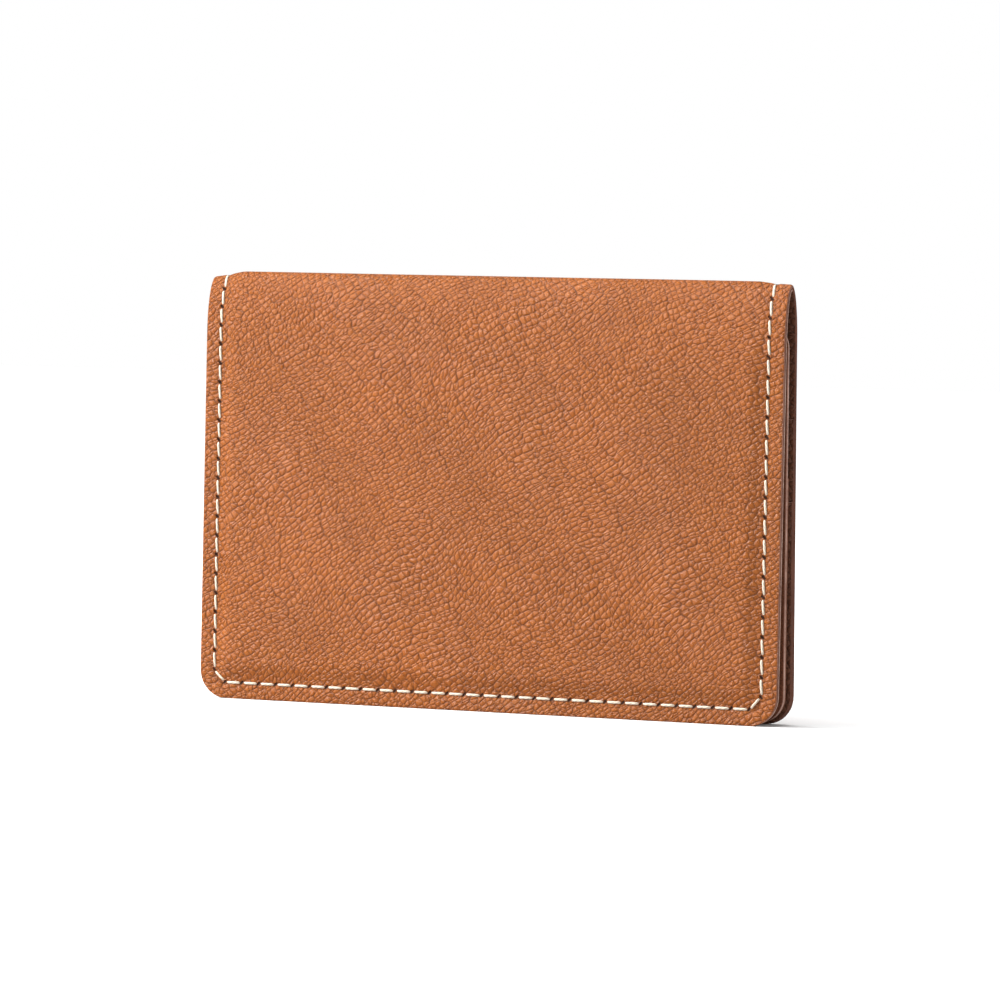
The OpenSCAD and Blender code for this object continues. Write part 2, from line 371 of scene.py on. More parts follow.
def blend_colours(tree, amount, first, second, kind="MIX"):
    mix = add(tree, "ShaderNodeMix", {"Factor": amount, 6: first, 7: second},
              data_type="RGBA", blend_type=kind)
    return mix.outputs[2]


def srgb(red, green, blue):
    """A colour as a paint chart gives it, 0 to 255, in the linear numbers that shaders use."""
    linear = [((c / 255 + 0.055) / 1.055) ** 2.4 if c > 10 else c / 255 / 12.92
              for c in (red, green, blue)]
    return (*linear, 1.0)


def finish(name):
    material = bpy.data.materials.new(name)
    material.use_nodes = True
    return material, material.node_tree, material.node_tree.nodes["Principled BSDF"]


def dress(tree, shader, colour, rough, height, relief, strength=1.0):
    """Gives a finish its colour, its roughness and a bump that is relief mm high."""
    bump = add(tree, "ShaderNodeBump",
               {"Height": height, "Strength": strength, "Distance": relief * MM})
    plug(tree, shader.inputs["Base Color"], colour)
    plug(tree, shader.inputs["Roughness"], rough)
    plug(tree, shader.inputs["Normal"], bump.outputs[0])


# %% Pebbled leather
WANDERS = ((0.035, 9.0), (0.3, 0.6))
JITTER = 0.56
WRINKLE_LONG, WRINKLE_WIDE, WRINKLE_TURN, WRINKLE_SHIFT = 3.6, 1.6, 6, 7.3
DOME_SHARE, WRINKLE_SHARE, MOUND_SHARE, PORE_SHARE = 0.38, 0.34, 0.36, 0.50
HOLE_DEEP, HOLE_ROUGH, PRESSED_DARK = 1.2, 0.95, 0.35
# Painted shade: the stitch holes are coloured near-black for the shade inside the pierced leather.
HOLE_SHADE_PAINT = srgb(12, 6, 4)


def pebbled_leather(name, crease, skin, bloom, grain_mm=(1.08, 0.92), slant=36, relief=0.25,
                    shine=0.31, gloss=0.31, punched=False):
    """Leather from its three tones: in the creases, on the pebbles and on the paler pebbles."""
    material, tree, shader = finish(name)
    flat = add(tree, "ShaderNodeUVMap", uv_map="grain").outputs[0]
    in_mm = vector(tree, "MULTIPLY", flat, (MAP_SIZE, MAP_SIZE, 0))
    pulled = in_mm
    for scale, reach in WANDERS:
        pull = vector(tree, "SUBTRACT", noise(tree, in_mm, scale, 1)["Color"], (0.5, 0.5, 0.5))
        pulled = vector(tree, "ADD", pulled, vector(tree, "MULTIPLY", pull, (reach, reach, reach)))

    def cells(long_mm, wide_mm, turned, feature, shift=0.0):
        """Voronoi cells of a length and width, lying along a slant."""
        placed = add(
            tree, "ShaderNodeMapping",
            {"Vector": pulled, "Rotation": (0, 0, math.radians(-turned)),
             "Location": (shift, shift, 0)},
        ).outputs[0]
        squeezed = vector(tree, "MULTIPLY", placed, (1 / long_mm, 1 / wide_mm, 0))
        return add(tree, "ShaderNodeTexVoronoi",
                   {"Vector": squeezed, "Scale": 1.0, "Randomness": JITTER},
                   voronoi_dimensions="2D", feature=feature).outputs

    pebbles = cells(*grain_mm, slant, "DISTANCE_TO_EDGE")["Distance"]
    wrinkles = cells(grain_mm[0] * WRINKLE_LONG, grain_mm[1] * WRINKLE_WIDE, slant - WRINKLE_TURN,
                     "DISTANCE_TO_EDGE", WRINKLE_SHIFT)["Distance"]
    nearest = cells(*grain_mm, slant, "F1")
    pores = noise(tree, pulled, 6.0, 3, 0.65)["Fac"]
    clouds = noise(tree, in_mm, 0.07, 3)["Fac"]

    height = plus(
        tree,
        times(tree, spread(tree, pebbles, 0.01, 0.24), DOME_SHARE),
        times(tree, spread(tree, wrinkles, 0.0, 0.12), WRINKLE_SHARE),
        times(tree, spread(tree, nearest["Distance"], 0.62, 0.0), MOUND_SHARE),
        times(tree, pores, PORE_SHARE),
    )
    rough = spread(tree, height, 0.15, 1.05, shine + 0.22, shine)

    clear_of_crease = times(
        tree, spread(tree, pebbles, -0.10, 0.16), spread(tree, wrinkles, -0.04, 0.06)
    )
    colour = blend_colours(tree, clear_of_crease, crease, skin)
    tone = add(tree, "ShaderNodeSeparateColor", {"Color": nearest["Color"]}).outputs[0]
    paler = times(tree, clear_of_crease, times(tree, tone, 0.42))
    colour = blend_colours(tree, paler, colour, bloom)
    patch = spread(tree, clouds, 0.35, 0.68, 0.95, 1.05)
    shade = add(tree, "ShaderNodeCombineColor", {0: patch, 1: patch, 2: patch}).outputs[0]
    colour = blend_colours(tree, 1.0, colour, shade, "MULTIPLY")

    if punched:
        hole, pressed = stitch_holes(tree)
        # painted shade: the slots are coloured near-black for the shade inside the holes
        colour = blend_colours(tree, hole, colour, HOLE_SHADE_PAINT)
        colour = blend_colours(tree, times(tree, pressed, PRESSED_DARK), colour, crease)
        height = maths(tree, "SUBTRACT", height, times(tree, hole, HOLE_DEEP))
        rough = maths(tree, "MAXIMUM", rough, times(tree, hole, HOLE_ROUGH))

    dress(tree, shader, colour, rough, height, relief)
    shader.inputs["Specular IOR Level"].default_value = gloss
    return material


# %% Stitch holes
AWL_SLANT = math.radians(48)
HOLE_LONG, HOLE_SHORT = 0.52, 0.24


def stitch_holes(tree):
    """Where the awl went through: a slanted slot at each whole number along the seam.

    The second output is the strip of leather that the thread presses down."""
    seam = add(tree, "ShaderNodeUVMap", uv_map="seam").outputs[0]
    count, aside = add(tree, "ShaderNodeSeparateXYZ", {0: seam}).outputs[0:2]
    past_hole = maths(tree, "SUBTRACT", maths(tree, "FRACT", plus(tree, count, 0.5)), 0.5)
    along = times(tree, past_hole, PITCH)
    cos, sin = math.cos(AWL_SLANT), math.sin(AWL_SLANT)
    down_slot = plus(tree, times(tree, along, cos), times(tree, aside, sin))
    across_slot = maths(tree, "SUBTRACT", times(tree, aside, cos), times(tree, along, sin))
    squares = [
        maths(tree, "POWER", maths(tree, "ABSOLUTE", maths(tree, "DIVIDE", way, size)), 2.0)
        for way, size in ((down_slot, HOLE_LONG), (across_slot, HOLE_SHORT))
    ]
    hole = spread(tree, maths(tree, "SQRT", plus(tree, *squares)), 1.15, 0.55)
    pressed = spread(tree, maths(tree, "ABSOLUTE", aside), 0.42, 0.18)
    return hole, pressed


# %% [markdown]
# ## The seam
#
# One thread runs down the left side, along the foot and up the right side, over the fold and
# round the flap in the same way. Its place is worked out on the flat ply, as a maker marks it
# with a stitching groover. The number of stitches is whole on each half, and one hole falls on
# the apex, so the two halves meet. The same two numbers, how far along the seam and how far
# aside from it, are stored on the leather as a map, so the holes fall between the stitches.

# %% Mark the seam on a flat ply
SEAM_REACH = 3.0


class Seam:
    """The stitching line of a ply with rounded lower corners, in the ply's own x and run.

    A place on it is counted in stitches, so a whole number is a hole. The sides and the foot
    each have a whole number of stitches, and one stitch crosses each corner."""

    def __init__(self, w, foot, top, corner, inset, pitch):
        self.w, self.foot, self.top, self.corner, self.inset = w, foot, top, corner, inset
        self.bend = corner - inset
        self.side = top - foot - corner
        self.half_foot = w - corner
        self.side_count = round(self.side / pitch)
        self.half_count = round(2 * self.half_foot / pitch) / 2
        self.count = int(2 * (self.side_count + 1 + self.half_count))

    def edge_distance(self, x, run):
        across, up = self.w - np.abs(x), run - self.foot
        rounded = self.corner - np.hypot(self.corner - across, self.corner - up)
        in_corner = (across < self.corner) & (up < self.corner)
        return np.where(in_corner, rounded, np.minimum(across, up))

    def map(self, x, run):
        """The count along the seam, and how far aside in mm, for each point."""
        across, up = self.w - np.abs(x), run - self.foot
        angle = np.clip(np.arctan2(self.corner - up, self.corner - across), 0, math.pi / 2)
        on_side = (self.top - run) / self.side * self.side_count
        on_bend = self.side_count + angle / (math.pi / 2)
        on_foot = self.side_count + 1 + (across - self.corner) / self.half_foot * self.half_count
        count = np.where(across < up, on_side, on_foot)
        count = np.where((across < self.corner) & (up < self.corner), on_bend, count)
        count = np.where(x > 0, self.count - count, count)
        aside = self.edge_distance(x, run) - self.inset
        return count, np.clip(aside, -SEAM_REACH, SEAM_REACH)

    def hole(self, number):
        """(x, run) of a hole."""
        mirrored = number > self.count / 2
        n = self.count - number if mirrored else number
        if n <= self.side_count:
            x, run = self.inset - self.w, self.top - self.side * n / self.side_count
        else:
            along = (n - self.side_count - 1) / self.half_count * self.half_foot
            x, run = along - self.half_foot, self.foot + self.inset
        return np.array((-x if mirrored else x, run))


cover_seam = Seam(half, 0.0, apex, CORNER, SEAM_INSET, PITCH)
side_pitch = cover_seam.side / cover_seam.side_count
print(f"{cover_seam.count} stitches on each cover, {side_pitch:.3f} mm apart on its sides")

# %% [markdown]
# ## Sewing
#
# Each stitch is a short length of round waxed thread, pressed a little flat. It starts as a
# small sphere, which is drawn out to a rod and dips into its holes at both ends, and it lies
# at a slight angle, as saddle stitching does. The stitches are laid on the flat ply and then
# folded with it, so those on the fold bend with the leather. Each point also keeps its place
# on the thread, which the material uses for the twist of the strands.

# %% Sew a row of stitches
THREAD_W, THREAD_H = 0.46, 0.36
THREAD_SINK, THREAD_DIP, THREAD_LEAN = 0.08, 0.36, 0.10
STITCH_GAP = 0.34


def sew(name, seam, spans, into_place, face_depth, side=-1):
    """Stitches on the seam between the lengths in spans. Side is -1 on an outer face."""
    bm = bmesh.new()
    strand = bm.verts.layers.float_vector.new("strand")
    sewn = 0
    for number in range(seam.count):
        if not any(low <= number < high for low, high in spans):
            continue
        made = bmesh.ops.create_uvsphere(bm, u_segments=8, v_segments=9, radius=1.0)["verts"]
        # t runs from -1 to 1 along the stitch, and ring is the angle round it.
        co = np.array([v.co for v in made])
        t = np.arcsin(np.clip(co[:, 2], -1, 1)) * 2 / math.pi
        ring = np.arctan2(co[:, 1], co[:, 0])
        girth = np.sqrt(np.clip(1 - np.abs(t) ** 4, 0, 1))
        first, last = seam.hole(number), seam.hole(number + 1)
        (x, run), chord = (first + last) / 2, last - first
        head = chord / np.linalg.norm(chord)
        along = t * (np.linalg.norm(chord) - STITCH_GAP) / 2
        normal = (-head[1], head[0])
        aside = along * THREAD_LEAN * abs(head[1]) + np.cos(ring) * girth * THREAD_W / 2
        proud = THREAD_H / 2 - THREAD_SINK - THREAD_DIP * np.abs(t) ** 5
        depth = face_depth(x, run) + side * (proud + np.sin(ring) * girth * THREAD_H / 2)
        flat = np.stack((x + head[0] * along + normal[0] * aside, depth,
                         run + head[1] * along + normal[1] * aside), axis=1)
        marks = np.stack((np.cos(ring), np.sin(ring), along), axis=1)
        for vert, point, mark in zip(made, flat, marks):
            vert.co = point
            vert[strand] = mark
        sewn += 1
    mesh = bpy.data.meshes.new(name)
    bm.to_mesh(mesh)
    bm.free()
    placed = into_place(point_array(mesh))
    placed[:, 1] += rim_y
    mesh.vertices.foreach_set("co", (placed * MM).ravel())
    mesh.update()
    fixed = bmesh.new()
    fixed.from_mesh(mesh)
    bmesh.ops.recalc_face_normals(fixed, faces=fixed.faces)
    fixed.to_mesh(mesh)
    fixed.free()
    for face in mesh.polygons:
        face.use_smooth = True
    mesh.materials.append(waxed_thread)
    piece = bpy.data.objects.new(name, mesh)
    bpy.context.scene.collection.objects.link(piece)
    print(f"{name}: {sewn} stitches, {len(mesh.polygons)} faces")
    return piece


# %% [markdown]
# ## Thread, edge paint and board
#
# Waxed linen thread is three strands laid round each other, so a sine of the angle round the
# thread and the length along it gives their ridges, and a fine noise the fibres. The cut
# edges of the plies are painted in thin coats over the fibres, in one edge paint drawn in three
# tones: a rose brown on the front cover, a darker brown on the flap, which is painted shade for
# the gap between the covers, and a pale mauve on the front lining and the pockets' mouths,
# which is painted light. The board is pressed pulp and doesn't shine. The fibres, the paint and
# the pulp read the piece's own coordinates, because they don't run from one ply to the next.

# %% Waxed thread, edge paint and board
STRANDS, TWIST = 3.0, 7.0
FIBRE_SHARE = 0.6


def thread_finish():
    material, tree, shader = finish("waxed_linen_thread")
    strand = add(tree, "ShaderNodeAttribute", attribute_name="strand").outputs["Vector"]
    x, y, along = add(tree, "ShaderNodeSeparateXYZ", {0: strand}).outputs
    angle = maths(tree, "ARCTAN2", y, x)
    phase = plus(tree, times(tree, angle, STRANDS), times(tree, along, TWIST))
    ridge = maths(tree, "MULTIPLY_ADD", maths(tree, "SINE", phase), 0.5, 0.5)
    place = add(tree, "ShaderNodeTexCoord").outputs["Object"]
    fibre = noise(tree, place, 9000, 2)["Fac"]
    height = plus(tree, ridge, times(tree, fibre, FIBRE_SHARE))
    # Painted shade: the thread is coloured darker where its height is low, between the strands; the
    # fibre noise adds a real change of tone.
    colour = blend_colours(
        tree, spread(tree, height, 0.0, 0.9), srgb(168, 152, 130), srgb(222, 210, 192)
    )
    dress(tree, shader, colour, spread(tree, ridge, 0, 1, 0.62, 0.46), height, 0.03, 0.7)
    return material


def painted_edge(name, dark, light):
    """Edge paint, a little uneven along the edge."""
    material, tree, shader = finish(name)
    place = add(tree, "ShaderNodeTexCoord").outputs["Object"]
    fibres = noise(tree, place, 1400, 4, 0.6)["Fac"]
    drift = noise(tree, place, 160, 2)["Fac"]
    tone = plus(tree, times(tree, fibres, 0.5), times(tree, drift, 0.5))
    colour = blend_colours(tree, spread(tree, tone, 0.36, 0.64), dark, light)
    dress(tree, shader, colour, spread(tree, fibres, 0.3, 0.7, 0.46, 0.66), tone, 0.05, 0.6)
    shader.inputs["Specular IOR Level"].default_value = 0.2
    return material


def pressed_board():
    material, tree, shader = finish("grey_board")
    place = add(tree, "ShaderNodeTexCoord").outputs["Object"]
    pulp = noise(tree, place, 900, 5, 0.7)["Fac"]
    colour = blend_colours(
        tree, spread(tree, pulp, 0.35, 0.65), srgb(138, 130, 118), srgb(182, 174, 160)
    )
    dress(tree, shader, colour, 0.9, pulp, 0.04, 0.5)
    return material


# %% Make every finish once
waxed_thread = thread_finish()
tan_calf = pebbled_leather(
    "tan_pebbled_calf", srgb(70, 31, 6), srgb(146, 76, 13), srgb(166, 95, 34), punched=True
)
inner_calf = pebbled_leather(
    "tan_pebbled_calf_thin", srgb(60, 26, 8), srgb(140, 76, 26), srgb(158, 92, 44), relief=0.15
)
# Painted shade: this lining leather, inside the covers, the pocket and the card pockets, is drawn
# dark brown for the shade inside the case, over the same grain.
lining_calf_painted_shade = pebbled_leather(
    "lining_leather_painted_shade", srgb(44, 22, 14), srgb(92, 52, 32), srgb(112, 68, 44),
    relief=0.16, shine=0.45,
)
# Painted shade: the gusset's leather is drawn brown for the shade between the covers where it sits.
gusset_calf_painted_shade = pebbled_leather(
    "gusset_leather_painted_shade", srgb(64, 34, 22), srgb(122, 72, 48), srgb(136, 84, 58),
    grain_mm=(0.6, 0.45), relief=0.05, shine=0.5,
)
# One edge paint in three tones: the brown on the flap is painted shade, and the pale mauve on the
# front lining, the pocket and the pockets' mouths is painted light.
flap_edge_paint_painted_shade = painted_edge("brown_edge_paint", srgb(84, 46, 32), srgb(112, 66, 48))
front_edge = painted_edge("rose_brown_edge_paint", srgb(128, 84, 66), srgb(156, 110, 92))
pale_edge_paint_painted_light = painted_edge("mauve_edge_paint_painted_light", srgb(158, 120, 106), srgb(200, 166, 152))
board = pressed_board()
for node in ("front_core", "flap_core"):
    frame["nodes"][node].data.materials.clear()
    frame["nodes"][node].data.materials.append(board)
print(len(bpy.data.materials), "materials")

# %% [markdown]
# ## The two covers
#
# Each cover is an outer ply and a lining ply, glued and sewn along three sides, with a thin
# board between them. The board makes the cover swell inside the seam, and the seam pulls the
# leather down into a groove. So the outer ply rises in an S from the flat rim, and it rises
# less where it goes over the fold, where the board has ended.

# %% Swell and groove of a cover
PAD_RISE, FOLD_RISE = 0.7, 0.22
PAD_FROM, PAD_FULL = 3.3, 6.4
FOLD_BEFORE, FOLD_PAST = 7, 4
UNEVEN = 0.07
GROOVE_DEPTH, GROOVE_HALF = 0.16, 0.5


def padded_cover(flat):
    """Lifts the field inside the seam, and presses the leather down along the seam.

    Two slow waves make the field a little uneven, as a hand leaves it."""
    x, depth, run = flat.T
    across, up = half - np.abs(x), run
    rise = smooth(across, PAD_FROM, PAD_FULL) * smooth(up, PAD_FROM, PAD_FULL)
    past_board = smooth(run, fold_z - FOLD_BEFORE, fold_z + FOLD_PAST)
    rise *= PAD_RISE + (FOLD_RISE - PAD_RISE) * past_board
    hand = UNEVEN * np.sin(x * 0.13 + run * 0.05) * np.sin(run * 0.11 - x * 0.03 + 1)
    rise *= 1 + hand
    aside = cover_seam.edge_distance(x, run) - SEAM_INSET
    groove = GROOVE_DEPTH * np.exp(-(aside / GROOVE_HALF) ** 2)
    return np.stack((x, depth - rise + groove * (1 - depth / OUTER), run), axis=1)


def pressed_lining(flat):
    """Leaves a hair of air between the lining and the leather."""
    x, depth, run = flat.T
    return np.stack((x, depth + PLY_AIR, run), axis=1)


# Where a cover is cut into faces: widely in its field, and closely towards and over the fold.
FIELD_INSET, FIELD_STEP = 9, 3.3
LEAD, LEAD_STEP, FOLD_STEP = 8, 1.0, 0.42
rim_rings = (0.55, 1.4, 2.1, 2.5, SEAM_INSET, 3.2, 3.6, 4.0, 4.4)
pad_steps = (5.0, 5.6, 6.2, 7.0)
cover_columns = [side * (half - s) for side in (-1, 1) for s in pad_steps]
cover_columns += spaced(FIELD_INSET - half, half - FIELD_INSET, FIELD_STEP)
fold_rows = spaced(fold_z - LEAD, fold_z, LEAD_STEP)[:-1] + spaced(fold_z, apex, FOLD_STEP)[:-1]
cover_rows = list(pad_steps) + spaced(FIELD_INSET, fold_z - FIELD_INSET, FIELD_STEP) + fold_rows


def cover_ply():
    return cut_ply(half, 0.0, apex, CORNER, OUTER, rim_rings, cover_columns, cover_rows,
                   runs_on=True, edge_round=0.28)


leather_front = place_ply(
    "leather_front", cover_ply(), over_front, swell=padded_cover, seam=cover_seam.map,
    finishes=(tan_calf, front_edge),
)
leather_back = place_ply(
    "leather_back", cover_ply(), over_back, swell=padded_cover, seam=cover_seam.map,
    past_apex=True, flip=True, finishes=(tan_calf, flap_edge_paint_painted_shade),
)

# %% Line both covers
INNER_FOOT, INNER_ROUND = 0.05, 0.1
wide_columns = spaced(-40, 40, 10)


def lining_ply():
    return cut_ply(half, INNER_FOOT, apex, CORNER, LINING - PLY_AIR, (1.2, 4.0), wide_columns,
                   spaced(10, 60, 10) + fold_rows, runs_on=True, edge_round=INNER_ROUND)


lining_front = place_ply(
    "lining_front", lining_ply(), over_front, swell=pressed_lining, depth=OUTER,
    skin_from=31, finishes=(lining_calf_painted_shade, pale_edge_paint_painted_light),
)
lining_back = place_ply(
    "lining_back", lining_ply(), over_back, swell=pressed_lining, depth=OUTER,
    skin_from=31, past_apex=True, flip=True, finishes=(lining_calf_painted_shade, flap_edge_paint_painted_shade),
)

# %% [markdown]
# ## The gusset
#
# The gusset is a strip folded once along its length, like a bellows with one fold. One leaf
# is sewn under the front cover's edge and the other carries the pocket, with the folded edge
# towards the middle of the case. A grid with its length round three sides of the case and its
# width across the fold is the natural start, and each point then goes to its place.

# %% Fold the gusset
GUSSET_FROM, GUSSET_TO, GUSSET_FLAT = 0.4, 7.0, 4.6
GUSSET_ROUND = 0.6
LEAF_SHARE, BEND_SHARE = 0.34, 0.32
GUSSET_ALONG, GUSSET_ACROSS = 70, 22
gusset_top = fold_z - GUSSET_BELOW_FOLD


def gusset_place(around, across):
    """Around runs 0 to 5: side, corner, foot, corner, side. Across runs 0 to 1, leaf to leaf."""
    bent = np.clip((across - LEAF_SHARE) / BEND_SHARE, 0, 1) * math.pi - math.pi / 2
    leaf = np.clip(np.minimum(across, 1 - across) / LEAF_SHARE, 0, 1)
    inset = GUSSET_FROM + (GUSSET_FLAT - GUSSET_FROM) * leaf
    inset += (GUSSET_TO - GUSSET_FLAT) * np.cos(bent)
    bend = np.maximum(CORNER - inset, GUSSET_ROUND)
    step = np.minimum(around, 5 - around)
    side, corner = np.clip(step, 0, 1), np.clip(step - 1, 0, 1)
    foot = np.clip(step - 2, 0, 0.5) * 2
    angle = corner * math.pi / 2
    x = -(half - inset - bend) * (1 - foot) - bend * np.cos(angle)
    run = gusset_top + (inset + bend - gusset_top) * side - bend * np.sin(angle)
    x = np.where(around > 2.5, -x, x)
    far = pocket_back - pocket_lean(run)
    y = (cover + far) / 2 + (far - cover) / 2 * np.sin(bent)
    return np.stack((x, y, run), axis=1)


bm = bmesh.new()
bmesh.ops.create_grid(bm, x_segments=GUSSET_ALONG, y_segments=GUSSET_ACROSS, size=0.5)
for vert in bm.verts:
    around, across = (vert.co.x + 0.5) * 5, vert.co.y + 0.5
    vert.co = gusset_place(np.array([around]), np.array([across]))[0]
bmesh.ops.recalc_face_normals(bm, faces=bm.faces)
bmesh.ops.solidify(bm, geom=bm.faces[:], thickness=GUSSET)
bmesh.ops.recalc_face_normals(bm, faces=bm.faces)
gusset_box = [[round(f(v.co[i] for v in bm.verts), 2) for i in range(3)] for f in (min, max)]
print("gusset in mm:", gusset_box)


def as_folded(flat):
    """The strip is folded already, so its points stay where they are."""
    return flat


def paint_faces(piece, chosen):
    """Gives the piece's third finish to the faces for which chosen is true."""
    painted = 0
    for face in piece.data.polygons:
        if chosen(face):
            face.material_index = 2
            painted += 1
    print(f"{piece.name}: {painted} faces painted")


def at_cover_edge(face):
    x, _, run = face.center / MM
    return abs(face.normal.y) < 0.5 and cover_seam.edge_distance(x, run) < GUSSET_FROM + 0.05


gusset_strip = place_ply(
    "gusset_strip", bm, as_folded, finishes=(gusset_calf_painted_shade, gusset_calf_painted_shade, front_edge)
)
paint_faces(gusset_strip, at_cover_edge)

# %% [markdown]
# ## The hanging pocket and the card pockets
#
# The pocket's front is a thin ply of the same tan leather, lined inside, with a flat card
# pocket sewn on it. Two more flat pockets are stepped on the flap. All the mouths but that of
# the rear one on the flap have a shallow thumb scoop. A boolean could cut it, but it would
# leave long thin faces at the very edge that is rounded and painted. So the rows near the
# mouth are drawn down along an arc instead, which keeps the rounded edge even. The flap's
# card pockets have the pale mauve edge paint, painted light, on their mouths only; their
# other edges are sewn with the flap and carry its darker brown, which is painted shade.

# %% Cut the pockets
SCOOP_R, SCOOP_DEEP, SCOOP_FADE = 11.0, 5.0, 14.0
scoop_half = math.sqrt(SCOOP_R ** 2 - (SCOOP_R - SCOOP_DEEP) ** 2)


def scooped(mouth):
    """Draws the rows below a mouth down along the arc of a thumb scoop."""
    def draw_down(flat):
        x, depth, run = flat.T
        arc = np.sqrt(np.clip(SCOOP_R ** 2 - x ** 2, 0, None)) - (SCOOP_R - SCOOP_DEEP)
        drop = np.where(np.abs(x) < scoop_half, np.clip(arc, 0, None), 0)
        drop *= smooth(run, mouth - SCOOP_FADE, mouth - 1)
        return np.stack((x, depth, run - drop), axis=1)
    return draw_down


def pocket_ply(w, foot, mouth, corner, thick, upper_corner=0.0, rings=(0.9, 2.4)):
    """A ply with close columns across its scoop, and close rows where the scoop is drawn down."""
    columns = spaced(-scoop_half, scoop_half, 0.8)
    columns += [side * x for side in (-1, 1) for x in (16, 24, 32, 40)]
    rows = spaced(mouth - SCOOP_FADE, mouth - 1, 1.0) + spaced(foot + 6, mouth - SCOOP_FADE - 4, 6)
    return cut_ply(w, foot, mouth, corner, thick, rings, columns, rows,
                   upper_corner=upper_corner, edge_round=0.12)


pocket_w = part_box("pocket_panel")[1].x / MM
pocket_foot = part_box("pocket_panel")[0].z / MM
pocket_corner = CORNER - (half - pocket_w)
lining_lo, lining_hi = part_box("pocket_lining")

pocket_front = place_ply(
    "pocket_front",
    pocket_ply(pocket_w, pocket_foot, pocket_mouth, pocket_corner, PANEL, pocket_corner),
    on_pocket, swell=scooped(pocket_mouth), depth=pocket_back,
    skin_from=117, finishes=(inner_calf, pale_edge_paint_painted_light),
)
pocket_inside = place_ply(
    "pocket_inside",
    pocket_ply(lining_hi.x / MM, lining_lo.z / MM, lining_hi.z / MM, GUSSET_ROUND, LINING, rings=()),
    on_pocket, swell=scooped(lining_hi.z / MM), depth=pocket_back - LINING,
    skin_from=59, finishes=(lining_calf_painted_shade, front_edge),
)
slip_front = place_ply(
    "slip_front", pocket_ply(pocket_w, pocket_foot, slip_mouth, pocket_corner, SLIP - PLY_AIR),
    on_pocket, swell=scooped(slip_mouth), depth=pocket_back + PANEL + PLY_AIR,
    skin_from=203, finishes=(inner_calf, front_edge),
)
card_pocket_rear = place_ply(
    "card_pocket_rear",
    cut_ply(half, INNER_FOOT, rear_mouth, CORNER, SLIP - PLY_AIR, (1.2, 3.8), wide_columns,
            spaced(10, 40, 10), edge_round=INNER_ROUND),
    over_back, depth=cover + PLY_AIR, skin_from=87, flip=True,
    finishes=(lining_calf_painted_shade, flap_edge_paint_painted_shade, pale_edge_paint_painted_light),
)
card_pocket_front = place_ply(
    "card_pocket_front", pocket_ply(half, INNER_FOOT, step_mouth, CORNER, SLIP - PLY_AIR),
    over_back, swell=scooped(step_mouth), depth=cover + SLIP + PLY_AIR,
    skin_from=149, flip=True, finishes=(lining_calf_painted_shade, flap_edge_paint_painted_shade, pale_edge_paint_painted_light),
)


def at_mouth(face):
    return face.material_index == 1 and face.normal.z > 0.5


# Painted light: the mouths of the flap's card pockets get the pale edge paint.
for piece in (card_pocket_rear, card_pocket_front):
    paint_faces(piece, at_mouth)

# %% [markdown]
# ## Every seam of the case
#
# The covers' seam shows on both sides of the flap, and on the front cover it shows outside
# and at the ends of the fold, because the gusset covers the rest. The pocket has a seam of
# its own. A stitch lies on whatever ply it crosses, so each row has a function that gives the
# depth of that face.

# %% Sew the case
whole = [(0, cover_seam.count)]
fold_count = math.ceil((apex - fold_z) / side_pitch)
fold_ends = [(0, fold_count), (cover_seam.count - fold_count, cover_seam.count)]


def outer_face(x, run):
    return GROOVE_DEPTH


def lining_face(x, run):
    return cover


def flap_inner_face(x, run):
    return cover + SLIP * (int(run < rear_mouth) + int(run < step_mouth))


def pocket_face(x, run):
    return pocket_back + PANEL + SLIP * (run < slip_mouth)


stitches_front = sew("stitches_front", cover_seam, whole, over_front, outer_face)
stitches_back = sew("stitches_back", cover_seam, whole, over_back, outer_face)
stitches_fold_inside = sew(
    "stitches_fold_inside", cover_seam, fold_ends, over_front, lining_face, side=1
)
stitches_flap_inside = sew(
    "stitches_flap_inside", cover_seam, whole, over_back, flap_inner_face, side=1
)
pocket_seam = Seam(pocket_w, pocket_foot, gusset_top, pocket_corner, SEAM_INSET, PITCH)
stitches_pocket = sew(
    "stitches_pocket", pocket_seam, [(0, pocket_seam.count)], on_pocket, pocket_face, side=1
)

# %% [markdown]
# ## Riding on the joints
#
# The fold is two hinges in the CAD model, one on each side of the fold's top. Leather has no
# hinge, it bends, but the pieces that run over the fold are only fixed in their folded place
# here, and they follow neither hinge. Pieces of the pocket and the flap simply ride on their
# bodies.


def bend_over_fold(piece, back=False):
    """Bakes a ply's folded place into its mesh, the same over the front hinge as over the back one.
    """
    if back:
        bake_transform(piece)
    else:
        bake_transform(piece)


def stands_for(piece, slot, *nodes):
    """Hides the CAD nodes that a piece replaces. The piece and the slot are not used."""
    if nodes:
        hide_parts(*nodes)


bend_over_fold(leather_front)
bend_over_fold(leather_back, back=True)
bend_over_fold(lining_front)
bend_over_fold(lining_back, back=True)
bend_over_fold(stitches_front)
bend_over_fold(stitches_back, back=True)
bend_over_fold(stitches_fold_inside)
bend_over_fold(stitches_flap_inside, back=True)
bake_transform(gusset_strip)
for piece in (pocket_front, pocket_inside, slip_front, stitches_pocket):
    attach(piece, "pocket")
for piece in (card_pocket_rear, card_pocket_front):
    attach(piece, "flap")

